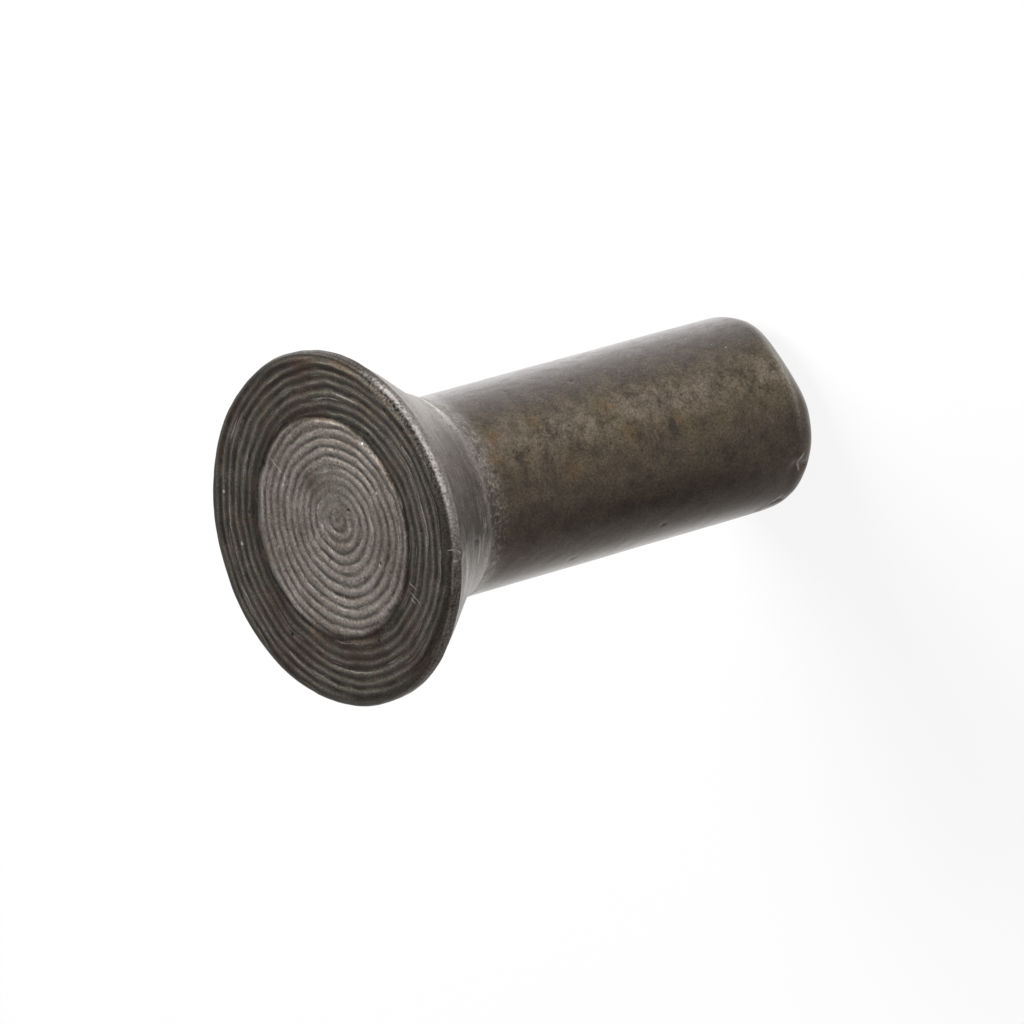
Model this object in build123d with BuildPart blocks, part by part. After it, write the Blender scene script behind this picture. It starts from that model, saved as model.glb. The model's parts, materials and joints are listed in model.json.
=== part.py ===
from build123d import *
import os
from math import radians, tan

# Countersunk solid rivet, 5 x 14: one piece of plain steel, cold-headed from drawn wire.
# It stands on the flat end of its shank with the head up. The origin is the centre of that end,
# and +Z runs along the axis to the head. Millimetres and degrees.

# Shank
SHANK_DIA = 5.0  # the wire that the rivet is headed from
LENGTH = 14.0  # over all: a countersunk rivet's length takes in its head
TAIL_ROUND = 0.7  # edge of the free end, which leads the rivet into its hole

# Head
HEAD_DIA = 8.9
SEAT_ANGLE = 78.0  # included angle of the cone that sits in the countersink
SEAT_FILLET = 2.5  # the cone runs out into the shank with this radius
RIM_HEIGHT = 0.4  # upright rim between the face and the cone
RIM_BREAK = 0.1  # rounding where the rim meets the cone
EDGE_ROUND = 0.23  # rounding where the rim meets the face

# Face: the header die was faced on a lathe, and its tool marks are printed on the head
RING_PITCH = 0.25  # lathe feed for one turn
RING_DEPTH = 0.035
RING_FLOOR = 0.08  # flat that the tool's worn point left at the bottom of each groove
NUB_DIA = 0.33  # pip at the centre, where the tool's point stopped
DISC_RINGS = 10  # rings on the raised disc in the middle of the face
DISC_STEP = 0.03  # height of that disc over the outer face
LIP_MIN = 0.05  # least width of the plain lip outside the last ring

shank_r = SHANK_DIA / 2
head_r = HEAD_DIA / 2
nub_r = NUB_DIA / 2
face_z = LENGTH - DISC_STEP
rim_z = face_z - RIM_HEIGHT
seat_z = rim_z - (head_r - shank_r) / tan(radians(SEAT_ANGLE / 2))  # sharp corner of cone and shank
lip_r = head_r - EDGE_ROUND
ring_count = int((lip_r - LIP_MIN - nub_r) / RING_PITCH)
last_ring_r = nub_r + ring_count * RING_PITCH
disc_r = nub_r + DISC_RINGS * RING_PITCH
flank = (RING_PITCH - RING_FLOOR) / 2  # width of a groove's sloping side

with BuildPart() as rivet:
    # Half of the rivet's section, turned once round the axis
    with BuildSketch(Plane.XZ):
        with BuildLine():
            # Tail, shank, cone, rim and lip, from the axis outwards and up
            FilletPolyline(
                (0, 0),
                (shank_r, 0),
                (shank_r, seat_z),
                (head_r, rim_z),
                (head_r, face_z),
                (last_ring_r, face_z),
                radius=[TAIL_ROUND, SEAT_FILLET, RIM_BREAK, EDGE_ROUND],
            )
            # Face: flat-bottomed grooves that meet in sharp crests, from the lip inwards
            for ring in reversed(range(ring_count)):
                inner_r = nub_r + ring * RING_PITCH
                outer_r = inner_r + RING_PITCH
                crest_z = LENGTH if ring < DISC_RINGS else face_z
                Polyline(
                    (outer_r, crest_z),
                    (outer_r - flank, crest_z - RING_DEPTH),
                    (inner_r + flank, crest_z - RING_DEPTH),
                    (inner_r, crest_z),
                )
            Line((disc_r, face_z), (disc_r, LENGTH))
            # Pip, and back down the axis
            Polyline((nub_r, LENGTH), (0, LENGTH), (0, 0))
        make_face()
    revolve(axis=Axis.Z)

rivet.part.label = "rivet"

os.makedirs("parts", exist_ok=True)
export_step(rivet.part, "parts/rivet.step")

print("rivet:", round(rivet.part.volume, 2), "mm3,", ring_count, "rings, last at r", last_ring_r)
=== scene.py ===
# %% [markdown]
# # A countersunk solid rivet
#
# A solid rivet is the plainest fastener there is: one length of steel wire, struck cold in a die.
# The die gives it a flat head with a cone under it, and leaves the shank as drawn. In use the shank
# goes through a hole, the cone seats in a countersink, and the tail is hammered out on the far side.
#
# The piece here is 14 mm long, so all that gives it its look is small: rings on the face, a rim that
# other rivets have knocked bright in the bin, a burnished cone, and a brown, oily skin on the shank.
# The lesson builds the shape first, then its wear, then the steel, and the studio last.
#
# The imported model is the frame. Everything is in metres, in its axes: the rivet stands on the end of
# its shank, +Z runs to the head.

import json
import math

import bpy
import numpy as np
from mathutils import Matrix, Vector, noise


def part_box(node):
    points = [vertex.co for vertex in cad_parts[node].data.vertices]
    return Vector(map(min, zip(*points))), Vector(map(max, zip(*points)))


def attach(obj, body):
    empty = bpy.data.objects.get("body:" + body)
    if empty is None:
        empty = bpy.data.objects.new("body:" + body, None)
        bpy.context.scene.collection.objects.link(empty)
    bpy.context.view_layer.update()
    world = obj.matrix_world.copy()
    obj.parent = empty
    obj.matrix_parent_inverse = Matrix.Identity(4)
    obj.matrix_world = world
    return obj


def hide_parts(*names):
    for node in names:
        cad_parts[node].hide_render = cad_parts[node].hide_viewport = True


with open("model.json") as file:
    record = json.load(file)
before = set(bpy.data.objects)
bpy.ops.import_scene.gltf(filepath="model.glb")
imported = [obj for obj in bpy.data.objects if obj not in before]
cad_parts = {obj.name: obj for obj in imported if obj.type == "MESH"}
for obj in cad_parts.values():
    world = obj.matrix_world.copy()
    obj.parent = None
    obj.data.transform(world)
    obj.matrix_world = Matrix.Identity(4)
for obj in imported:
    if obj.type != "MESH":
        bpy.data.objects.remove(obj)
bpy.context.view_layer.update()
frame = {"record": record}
low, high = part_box("rivet")
MM = 0.001
LENGTH = high.z - low.z
HEAD_R = (high.x - low.x) / 2
mounts = {mount["name"]: mount for mount in frame["record"]["mounts"]}
SHANK_R = mounts["shank"]["dims"]["r_mm"] * MM
print(f"length {LENGTH / MM:.2f} mm, head {2 * HEAD_R / MM:.2f} mm, shank {2 * SHANK_R / MM:.2f} mm")

# %% [markdown]
# ## A helper for node trees
#
# Geometry and shading are both drawn as node trees below. One small function adds a node, sets its
# properties, and fills or links its inputs, so that a tree reads as a list of steps.


# %% One function that adds a node
def add_node(tree, kind, inputs=None, **settings):
    """Adds a node and returns its outputs. inputs maps a socket's name or number to a value or a link."""
    made = tree.nodes.new(kind)
    for name, value in settings.items():
        setattr(made, name, value)
    for key, value in (inputs or {}).items():
        if isinstance(value, bpy.types.NodeSocket):
            tree.links.new(value, made.inputs[key])
        else:
            made.inputs[key].default_value = value
    return made.outputs


# %% [markdown]
# ## The half section
#
# A rivet is round, so its whole form is in the half section that a lathe hand would draw: face, rim,
# cone, shank, tail. It is drawn with sharp corners, each with the radius that it is to have. The
# corners are rounded in the tree of the next step, where the curve tools do it exactly.
#
# The rim's edges are rolled over and the tail's edge is rounded, because the blank is cropped and
# then tumbled. The cone runs out into the shank in a long sweep, where the steel flowed in the die.

# %% Draw the half section
SEAT_ANGLE = math.radians(78)  # included angle of the cone
RIM_HEIGHT = 0.43 * MM
EDGE_ROUND = 0.26 * MM  # where the face meets the rim
RIM_BREAK = 0.1 * MM  # where the rim meets the cone
SEAT_FILLET = 2.5 * MM  # where the cone runs out into the shank
TAIL_ROUND = 0.72 * MM

rim_z = LENGTH - RIM_HEIGHT
seat_z = rim_z - (HEAD_R - SHANK_R) / math.tan(SEAT_ANGLE / 2)
corners = [
    ((0, LENGTH), 0),
    ((HEAD_R, LENGTH), EDGE_ROUND),
    ((HEAD_R, rim_z), RIM_BREAK),
    ((SHANK_R, seat_z), SEAT_FILLET),
    ((SHANK_R, 0), TAIL_ROUND),
    ((0, 0), 0),
]
section_points = [(r, 0, z) for (r, z), _ in corners]
section_lines = [(i, i + 1) for i in range(len(corners) - 1)]
section = bpy.data.meshes.new("half_section")
section.from_pydata(section_points, section_lines, [])
roundings = section.attributes.new("rounding", "FLOAT", "POINT")
roundings.data.foreach_set("value", [radius for _, radius in corners])
blank = bpy.data.objects.new("rivet_blank", section)
bpy.context.scene.collection.objects.link(blank)
print(f"the cone would meet the shank {(LENGTH - seat_z) / MM:.2f} mm below the face")

# %% [markdown]
# ## Turning the section and printing the rings
#
# The header die was faced on a lathe. The tool left a fine spiral of grooves in it, and every head
# struck in that die carries their print: rings a quarter of a millimetre apart. The blank never sits
# quite in the middle of the die, so the rings' centre is half a millimetre off the head's centre and
# the outer rings run out over the rim on one side.
#
# Both the turning and the rings follow a rule, so Geometry Nodes make them. They could be modelled by
# hand or cut as bumps in the material, but a tree keeps every size in one place, and real grooves
# catch the light at the rim of the face as the print does.
#
# First come the tree's inputs: one named socket for each size, place and material.

# %% Sizes, places and inputs of the tree
RING_PITCH = 0.2465 * MM
RING_DEPTH = 0.024 * MM
RING_START = 0.16 * MM  # radius of the pip at the rings' centre
RING_CENTRE = Vector((-0.03, -0.48, 0)) * MM
RING_DRIFT = Vector((0.2, 0.03, 0)) * MM  # how far the innermost ring is off the others
WORN_CENTRE = Vector((0.9, -0.45, 0)) * MM
DISC_R = 2.72 * MM
DISC_CENTRE = Vector((0.03, -0.16, 0)) * MM
DISC_STEP = 0.018 * MM

tree = bpy.data.node_groups.new("turned_rivet", "GeometryNodeTree")
tree.interface.new_socket("Geometry", in_out="OUTPUT", socket_type="NodeSocketGeometry")
tree.interface.new_socket("Section", in_out="INPUT", socket_type="NodeSocketGeometry")
SIZES = {
    "Face Reach": HEAD_R + RIM_HEIGHT,
    "Length": LENGTH,
    "Ring Pitch": RING_PITCH,
    "Ring Depth": RING_DEPTH,
    "Ring Start": RING_START,
    "Disc Radius": DISC_R,
    "Disc Step": DISC_STEP,
    "Lip Radius": HEAD_R - EDGE_ROUND,
}
for name in SIZES:
    tree.interface.new_socket(name, in_out="INPUT", socket_type="NodeSocketFloat")
PLACES = {
    "Ring Centre": RING_CENTRE,
    "Ring Drift": RING_DRIFT,
    "Worn Centre": WORN_CENTRE,
    "Disc Centre": DISC_CENTRE,
}
for name in PLACES:
    tree.interface.new_socket(name, in_out="INPUT", socket_type="NodeSocketVector")
tree.interface.new_socket("Steel", in_out="INPUT", socket_type="NodeSocketMaterial")
given = add_node(tree, "NodeGroupInput")
print("inputs of the tree:", ", ".join(SIZES | PLACES), "and Steel")

# %% [markdown]
# The section becomes a curve, and its corners get their radius. A unit grid is then wrapped round the
# axis: one way it runs along the curve, the other way round the circle. The face gets nearly half of
# the rows, because a ring needs eight of them. The rows at the axis and the two ends of the turn fall
# together, so they are merged, and the skin is closed.

# %% Round the section's corners
FILLET_POINTS = 12

rounding = add_node(tree, "GeometryNodeInputNamedAttribute", {"Name": "rounding"}, data_type="FLOAT")
curve = add_node(tree, "GeometryNodeMeshToCurve", {"Mesh": given["Section"]})
curve = add_node(
    tree,
    "GeometryNodeFilletCurve",
    {"Curve": curve["Curve"], "Radius": rounding["Attribute"], "Count": FILLET_POINTS},
    mode="POLY",
)
whole = add_node(tree, "GeometryNodeCurveLength", {"Curve": curve["Curve"]})
print("points in each rounded corner:", FILLET_POINTS)

# %% Wrap a grid round the axis
FACE_ROWS = 154
SIDE_ROWS = 190
COLUMNS = 288
MERGE_GAP = 1e-7

# Across the grid x is the place along the section, up it y is the turn round the axis
rows = FACE_ROWS + SIDE_ROWS
grid = add_node(
    tree,
    "GeometryNodeMeshGrid",
    {"Size X": 1.0, "Size Y": 1.0, "Vertices X": rows + 1, "Vertices Y": COLUMNS + 1},
)
place = add_node(tree, "ShaderNodeSeparateXYZ", {0: add_node(tree, "GeometryNodeInputPosition")[0]})
switch = FACE_ROWS / rows - 0.5
on_face = add_node(
    tree, "ShaderNodeMapRange", {"Value": place["X"], 1: -0.5, 2: switch, 3: 0.0, 4: given["Face Reach"]}
)
past_face = add_node(
    tree,
    "ShaderNodeMapRange",
    {"Value": place["X"], 1: switch, 2: 0.5, 3: given["Face Reach"], 4: whole["Length"]},
)
both = add_node(tree, "ShaderNodeMath", {0: on_face[0], 1: past_face[0]}, operation="ADD")
along = add_node(tree, "ShaderNodeMath", {0: both[0], 1: given["Face Reach"]}, operation="SUBTRACT")
sample = add_node(
    tree, "GeometryNodeSampleCurve", {"Curves": curve["Curve"], "Length": along[0]}, mode="LENGTH"
)
turn = add_node(tree, "ShaderNodeMath", {0: place["Y"], 1: math.tau}, operation="MULTIPLY")
turned = add_node(
    tree,
    "ShaderNodeVectorRotate",
    {"Vector": sample["Position"], "Angle": turn[0]},
    rotation_type="Z_AXIS",
)
body = add_node(tree, "GeometryNodeSetPosition", {"Geometry": grid["Mesh"], "Position": turned[0]})
body = add_node(tree, "GeometryNodeMergeByDistance", {"Geometry": body["Geometry"], "Distance": MERGE_GAP})
print(f"grid of {rows} rows by {COLUMNS} columns")

# %% [markdown]
# A ring is a place with a given distance from the rings' centre. The inner rings drift to one side, as
# the die was not quite steady, and a slow noise bends them all. The same bend moves the edge of the
# disc in the middle of the head.

# %% Measure each point's distance from the rings' centre
DRIFT_FROM = 0.3 * MM  # from the head's axis; the drift is full inside this and gone outside the next
DRIFT_TO = 2.4 * MM
BEND_SIZE = 1.1 * MM
BEND = 0.045 * MM
NOISE_LOW = 0.3  # most values of a noise texture lie between these two
NOISE_HIGH = 0.7

spot = add_node(tree, "GeometryNodeInputPosition")
flat = add_node(tree, "ShaderNodeVectorMath", {0: spot[0], 1: (1, 1, 0)}, operation="MULTIPLY")
out = add_node(tree, "ShaderNodeVectorMath", {0: flat[0]}, operation="LENGTH")
drift = add_node(
    tree, "ShaderNodeMapRange", {"Value": out["Value"], 1: DRIFT_FROM, 2: DRIFT_TO, 3: 1.0, 4: 0.0}
)
drift = add_node(
    tree, "ShaderNodeVectorMath", {0: given["Ring Drift"], "Scale": drift[0]}, operation="SCALE"
)
centre = add_node(tree, "ShaderNodeVectorMath", {0: given["Ring Centre"], 1: drift[0]}, operation="ADD")
reach = add_node(tree, "ShaderNodeVectorMath", {0: flat[0], 1: centre[0]}, operation="DISTANCE")
bend = add_node(
    tree, "ShaderNodeTexNoise", {"Vector": flat[0], "Scale": 1 / BEND_SIZE, "Detail": 3.0, "Roughness": 0.55}
)
bend = add_node(
    tree, "ShaderNodeMapRange", {"Value": bend[0], 1: NOISE_LOW, 2: NOISE_HIGH, 3: -BEND, 4: BEND}
)
reach = add_node(tree, "ShaderNodeMath", {0: reach["Value"], 1: bend[0]}, operation="ADD")

# How far each point is past the edge of the disc in the middle of the head
disc_reach = add_node(
    tree, "ShaderNodeVectorMath", {0: flat[0], 1: given["Disc Centre"]}, operation="DISTANCE"
)
past_disc = add_node(
    tree, "ShaderNodeMath", {0: disc_reach["Value"], 1: given["Disc Radius"]}, operation="SUBTRACT"
)
past_disc = add_node(tree, "ShaderNodeMath", {0: past_disc[0], 1: bend[0]}, operation="ADD")
print(f"the rings bend by up to {BEND / MM:.3f} mm, the innermost drift by {RING_DRIFT.length / MM:.2f} mm")

# %% [markdown]
# The depth of a groove is nothing at a crest and full half way to the next one: one less the square of
# a ramp from -1 to 1. A power widens the crests. The outer rings keep sharp crests and round bottoms,
# and the disc, which rubs first, has its crests worn broad. No two grooves are quite as deep.

# %% Shape the grooves
SHARP_CREST = 1.2  # the power outside the disc
BROAD_CREST = 3.2  # and on it
CREST_CHANGE = 0.1 * MM
LEAST_LUCK = 0.7  # the shallowest groove has this share of the depth

run = add_node(tree, "ShaderNodeMath", {0: reach[0], 1: given["Ring Start"]}, operation="SUBTRACT")
run = add_node(tree, "ShaderNodeMath", {0: run[0], 1: given["Ring Pitch"]}, operation="DIVIDE")
rings = run[0]
number = add_node(tree, "ShaderNodeMath", {0: run[0]}, operation="FLOOR")
luck = add_node(tree, "ShaderNodeTexWhiteNoise", {"W": number[0]}, noise_dimensions="1D")
luck = add_node(tree, "ShaderNodeMapRange", {"Value": luck["Value"], 1: 0.0, 2: 1.0, 3: LEAST_LUCK, 4: 1.0})
run = add_node(tree, "ShaderNodeMath", {0: run[0]}, operation="FRACT")
run = add_node(tree, "ShaderNodeMath", {0: run[0], 1: 2.0, 2: -1.0}, operation="MULTIPLY_ADD")
run = add_node(tree, "ShaderNodeMath", {0: run[0], 1: run[0]}, operation="MULTIPLY")
groove = add_node(tree, "ShaderNodeMath", {0: 1.0, 1: run[0]}, operation="SUBTRACT")
widen = add_node(
    tree,
    "ShaderNodeMapRange",
    {"Value": past_disc[0], 1: -CREST_CHANGE, 2: CREST_CHANGE, 3: BROAD_CREST, 4: SHARP_CREST},
)
groove = add_node(tree, "ShaderNodeMath", {0: groove[0], 1: widen[0]}, operation="POWER")
print(f"grooves {LEAST_LUCK * RING_DEPTH / MM:.3f} to {RING_DEPTH / MM:.3f} mm deep")

# %% [markdown]
# Wear takes the grooves down in patches, and most in a smooth patch beside the centre. They also run
# out on the rounded lip, which the die's flat face did not reach.

# %% Wear the grooves
PATCH_SIZE = 0.7 * MM
PATCH_BELOW = 0.32  # a patch lies where the noise is lower than this
PATCH_EDGE = 0.6  # and its soft edge ends here
PATCH_KEPT = 0.5  # what is left of a groove in a patch
WORN_FROM = 0.3 * MM
WORN_TO = 1.1 * MM
WORN_KEPT = 0.25
LIP_FADE = 0.22 * MM
TOP_ZONE = 0.2 * MM  # what is nearer than this to the top belongs to the face

patch = add_node(
    tree, "ShaderNodeTexNoise", {"Vector": flat[0], "Scale": 1 / PATCH_SIZE, "Detail": 3.0, "Roughness": 0.6}
)
kept = add_node(
    tree, "ShaderNodeMapRange", {"Value": patch[0], 1: PATCH_BELOW, 2: PATCH_EDGE, 3: PATCH_KEPT, 4: 1.0}
)
worn = add_node(tree, "ShaderNodeVectorMath", {0: flat[0], 1: given["Worn Centre"]}, operation="DISTANCE")
smooth = add_node(
    tree,
    "ShaderNodeMapRange",
    {"Value": worn["Value"], 1: WORN_FROM, 2: WORN_TO, 3: WORN_KEPT, 4: 1.0},
    interpolation_type="SMOOTHSTEP",
)
lip_end = add_node(tree, "ShaderNodeMath", {0: given["Lip Radius"], 1: LIP_FADE}, operation="ADD")
lip = add_node(
    tree,
    "ShaderNodeMapRange",
    {"Value": out["Value"], 1: given["Lip Radius"], 2: lip_end[0], 3: 1.0, 4: 0.0},
    interpolation_type="SMOOTHSTEP",
)
height = add_node(tree, "ShaderNodeSeparateXYZ", {0: spot[0]})
face_low = add_node(tree, "ShaderNodeMath", {0: given["Length"], 1: TOP_ZONE}, operation="SUBTRACT")
on_top = add_node(tree, "ShaderNodeMath", {0: height["Z"], 1: face_low[0]}, operation="GREATER_THAN")
for share in (luck[0], kept[0], smooth[0], lip[0], on_top[0]):
    groove = add_node(tree, "ShaderNodeMath", {0: groove[0], 1: share}, operation="MULTIPLY")
drop = add_node(tree, "ShaderNodeMath", {0: groove[0], 1: given["Ring Depth"]}, operation="MULTIPLY")
print(f"worn to {WORN_KEPT:.0%} of their depth beside the centre")

# %% [markdown]
# The middle of the head stands a hair proud, as a disc with a narrow moat round it. A soft step round
# the disc's edge makes both: it goes down past the edge, and deeper for a short way.

# %% Raise the disc
DISC_SOFT = 0.07 * MM
MOAT_FROM = 0.06 * MM  # the moat's outer bank, past the disc's edge
MOAT_TO = 0.24 * MM

beyond = add_node(
    tree,
    "ShaderNodeMapRange",
    {"Value": past_disc[0], 1: -DISC_SOFT, 2: DISC_SOFT, 3: 0.0, 4: 1.0},
    interpolation_type="SMOOTHSTEP",
)
outer_bank = add_node(
    tree,
    "ShaderNodeMapRange",
    {"Value": past_disc[0], 1: MOAT_FROM, 2: MOAT_TO, 3: 1.0, 4: 0.0},
    interpolation_type="SMOOTHSTEP",
)
beyond = add_node(tree, "ShaderNodeMath", {0: beyond[0], 1: on_top[0]}, operation="MULTIPLY")
moat = add_node(tree, "ShaderNodeMath", {0: beyond[0], 1: outer_bank[0]}, operation="MULTIPLY")
step = add_node(tree, "ShaderNodeMath", {0: beyond[0], 1: moat[0]}, operation="ADD")
step = add_node(tree, "ShaderNodeMath", {0: step[0], 1: given["Disc Step"]}, operation="MULTIPLY")
drop = add_node(tree, "ShaderNodeMath", {0: drop[0], 1: step[0]}, operation="ADD")
drop = add_node(tree, "ShaderNodeMath", {0: drop[0], 1: -1.0}, operation="MULTIPLY")
down = add_node(tree, "ShaderNodeCombineXYZ", {"Z": drop[0]})
dirty = add_node(tree, "ShaderNodeMath", {0: groove[0], 1: moat[0]}, operation="MAXIMUM")
print(f"disc {2 * DISC_R / MM:.2f} mm across, {DISC_STEP / MM:.3f} mm proud")

# %% [markdown]
# The depth of the grooves and the count of rings are stored on the mesh before the points move. The
# material reads them later, for the dirt in the grooves and for fine lines beside them. The tree
# ends in plain geometry with its material on it.

# %% Print the rings and end the tree
for name, value in (("groove", dirty[0]), ("rings", rings)):
    body = add_node(
        tree,
        "GeometryNodeStoreNamedAttribute",
        {"Geometry": body["Geometry"], "Name": name, "Value": value},
        data_type="FLOAT",
        domain="POINT",
    )
body = add_node(tree, "GeometryNodeSetPosition", {"Geometry": body["Geometry"], "Offset": down[0]})
body = add_node(tree, "GeometryNodeSetShadeSmooth", {"Geometry": body["Geometry"]})
body = add_node(tree, "GeometryNodeRealizeInstances", {"Geometry": body["Geometry"]})
body = add_node(
    tree, "GeometryNodeSetMaterial", {"Geometry": body["Geometry"], "Material": given["Steel"]}
)
add_node(tree, "NodeGroupOutput", {"Geometry": body["Geometry"]})
print("nodes in the tree:", len(tree.nodes))

# %% [markdown]
# The tree runs as a modifier on the half section. Its inputs are set by the sockets' identifiers, and
# the result is kept as a plain mesh, whose points the next steps move.

# %% Run the tree and keep the plain mesh
steel = bpy.data.materials.new("cold_headed_steel")
lathe = blank.modifiers.new("lathe", "NODES")
lathe.node_group = tree
inputs = {item.name: item.identifier for item in tree.interface.items_tree if item.in_out == "INPUT"}
for name, value in (SIZES | PLACES).items():
    lathe[inputs[name]] = value
lathe[inputs["Steel"]] = steel
turned_mesh = bpy.data.meshes.new_from_object(blank.evaluated_get(bpy.context.evaluated_depsgraph_get()))
turned_mesh.name = "rivet_body"
blank.modifiers.remove(lathe)
rivet = bpy.data.objects.new("rivet_body", turned_mesh)
bpy.context.scene.collection.objects.link(rivet)
bpy.data.objects.remove(blank)
triangles = sum(len(face.vertices) - 2 for face in turned_mesh.polygons)
print(f"turned rivet: {len(turned_mesh.vertices)} points, {triangles} triangles")

# %% [markdown]
# ## Small faults of the striking
#
# No header strikes true. The shank is a tenth of a millimetre off the head's axis, the outline of
# the head is a little uneven, and a faint crest runs round the cone where the die's polished part
# ended. The tail was cropped, so its end is a little askew, with a lip of burr on one side.
#
# These are moves of single points by short formulas, so they are done on the mesh's array of points.
# The depth below the face, the distance from the axis and the direction round it are worked out once,
# before any move. The plain coordinates are views of the array, so they follow the points.

# %% Work out each point's place
count = len(turned_mesh.vertices)
points = np.zeros(count * 3)
turned_mesh.vertices.foreach_get("co", points)
points = points.reshape(-1, 3)
x, y, z = points.T
radius = np.hypot(x, y)
angle = np.arctan2(y, x)
depth = LENGTH - z  # below the face
outward = np.stack([np.cos(angle), np.sin(angle), np.zeros(count)], 1)


def fade(values, start, end):
    """Runs smoothly from 0 at start to 1 at end."""
    share = np.clip((values - start) / (end - start), 0, 1)
    return share * share * (3 - 2 * share)


def bell(distance, width):
    """1 where the distance is 0, falling to about 0 at twice the width."""
    return np.exp(-((distance / width) ** 2))


def grain(places, size, seed):
    """Smooth noise from -1 to 1, with lumps of about the given size in metres."""
    shift = Vector((seed * 13.7, seed * 7.1, seed * 3.3))
    return np.array([noise.noise(Vector(place) / size + shift) for place in places])


print("points on the face:", int((depth < TOP_ZONE).sum()))

# %% [markdown]
# The shank is shifted, leans a trace and tapers a trace, as the wire did in the die. The crest lies
# near the foot of the cone, deeper on one side. Below it, down to the plain shank, is the neck, where
# the steel is wrinkled because nothing pressed it smooth.

# %% Shift the shank, wrinkle the neck
SHANK_SHIFT = np.array([0.10, -0.13, 0]) * MM
LEAN = 0.0067  # the shank leans this much towards +X for each unit of length
TAPER = 0.0055  # and its radius shrinks this much
CREST_DEPTH = 2.84  # in millimetres, and how much it changes round the cone
CREST_SWING = 0.16
CREST_WIDTH = 0.09 * MM
NECK_END = 3.15 * MM
PLAIN_FROM = 3.7 * MM  # below this the shank is plain

lumps = grain(points, 0.30 * MM, 1)
fine = grain(points, 0.12 * MM, 2)
slow = grain(points, 2.5 * MM, 3)
side = depth > RIM_HEIGHT

# The crest's own depth at each point, and how much of the crest, the neck and the shank it is in
crest_at = (CREST_DEPTH - CREST_SWING * np.cos(angle + math.radians(50))) * MM + 0.03 * MM * lumps
crest = bell(depth - crest_at, CREST_WIDTH)
neck = fade(depth, crest_at, crest_at + 0.15 * MM) * (1 - fade(depth, NECK_END, NECK_END + 0.5 * MM))
on_shank = fade(depth, 2.9 * MM, PLAIN_FROM)
past_neck = depth - 4 * MM

# The skin's moves outwards: the crest and its wrinkles, the full foot of the cone, the tapered shank
swell = 0.010 * MM * crest + 0.012 * MM * neck * (lumps + 0.7 * fine)
swell += 0.05 * MM * bell(depth - 2.6 * MM, 0.5 * MM)
swell += on_shank * (MM * (0.008 * slow + 0.004 * lumps + 0.010) - TAPER * past_neck) - 0.006 * MM
points += outward * (swell * side)[:, None]
points += SHANK_SHIFT * (fade(depth, RIM_HEIGHT, 2.85 * MM) * side)[:, None]
points[:, 0] += on_shank * (LEAN * past_neck - 0.035 * MM)
print(f"crest {crest_at.min() / MM:.2f} to {crest_at.max() / MM:.2f} mm below the face")

# %% [markdown]
# The cropping blade left the tail's end half a degree askew. One side of its rounded edge was
# flattened by a knock: a plane cuts it off, and the cut's own edge is eased.

# %% Crop the tail
TAIL_TILT = math.radians(0.5)
TAIL_LOW_SIDE = math.radians(200)
FACET_SIDE = math.radians(-64)  # one side of the tail's round edge is flattened
FACET_TILT = math.radians(42)
FACET_DEPTH = 0.15 * MM
FACET_SOFT = 0.25 * MM  # the flat's edge is eased over this much on either side

tail_zone = 1 - fade(z, 0, 1.2 * MM)
points[:, 2] += tail_zone * math.tan(TAIL_TILT) * (SHANK_R - radius * np.cos(angle - TAIL_LOW_SIDE))
flat_way = Vector((math.cos(FACET_SIDE), math.sin(FACET_SIDE), -math.tan(FACET_TILT))).normalized()
past_flat = points @ np.array(flat_way)
past_flat -= past_flat.max() - FACET_DEPTH
eased = np.clip(past_flat + FACET_SOFT, 0, None) ** 2 / (4 * FACET_SOFT)
cut = np.where(past_flat > FACET_SOFT, past_flat, eased)
points -= np.array(flat_way) * cut[:, None]
print("points on the tail's flat:", int((past_flat > 0).sum()))

# %% [markdown]
# The rim was knocked by other rivets. Its outline is a few slow waves, a full place and a flat one, a
# small step, and a scar beside a place where a flake is gone. All stay inside the round of the head.

# %% Knock the rim
def off_by(degrees):
    """How far each point's direction is from the given one, in degrees from -180 to 180."""
    return (np.degrees(angle) - degrees + 180) % 360 - 180


def band(degrees, full, gone):
    """1 on either side of the given direction, until it fades out between two distances in degrees."""
    return 1 - fade(np.abs(off_by(degrees)), full, gone)


# In millimetres outwards
rim_zone = (1 - fade(depth, RIM_HEIGHT, RIM_HEIGHT + 0.6 * MM)) * fade(radius, 3.7 * MM, 4.35 * MM)
outline = -0.040 - 0.015 * np.cos(angle - 1.0) + 0.014 * np.sin(2 * angle + 0.4)
outline += 0.010 * np.sin(5 * angle + 2) + 0.008 * np.sin(11 * angle) + 0.008 * lumps
outline += 0.025 * bell(off_by(120), 25) - 0.015 * bell(off_by(68), 12)
outline -= 0.02 * fade(off_by(149), 1, -1) * fade(off_by(128), -5, 20)  # the step
outline -= 0.025 * fade(off_by(-111), 2.0, -1.0) * fade(off_by(-140), -15, 10)  # the flake
outline += 0.04 * bell(off_by(-108), 1.3)  # the scar
outline = np.minimum(outline, -0.004)
points += outward * (rim_zone * outline * MM)[:, None]
print(f"deepest knock on the rim {-(rim_zone * outline).min():.2f} mm")

# %% [markdown]
# Small marks are listed by place: on the face in millimetres from its middle, and on the side by the
# direction round the axis and the depth below the face. Two helpers turn such a place to coordinates.

# %% Two ways to name a place
def on_face(right, far):
    """A place on the face, in millimetres from the middle of the head."""
    return Vector((right * MM, far * MM, LENGTH))


def on_side(azimuth, down, reach=2.5):
    """A place on the side: degrees round the shank, millimetres below the face and from the axis."""
    a = math.radians(azimuth)
    shift = Vector(SHANK_SHIFT) * min(1.0, down / 2.8)
    return Vector((math.cos(a) * reach * MM, math.sin(a) * reach * MM, LENGTH - down * MM)) + shift


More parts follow.
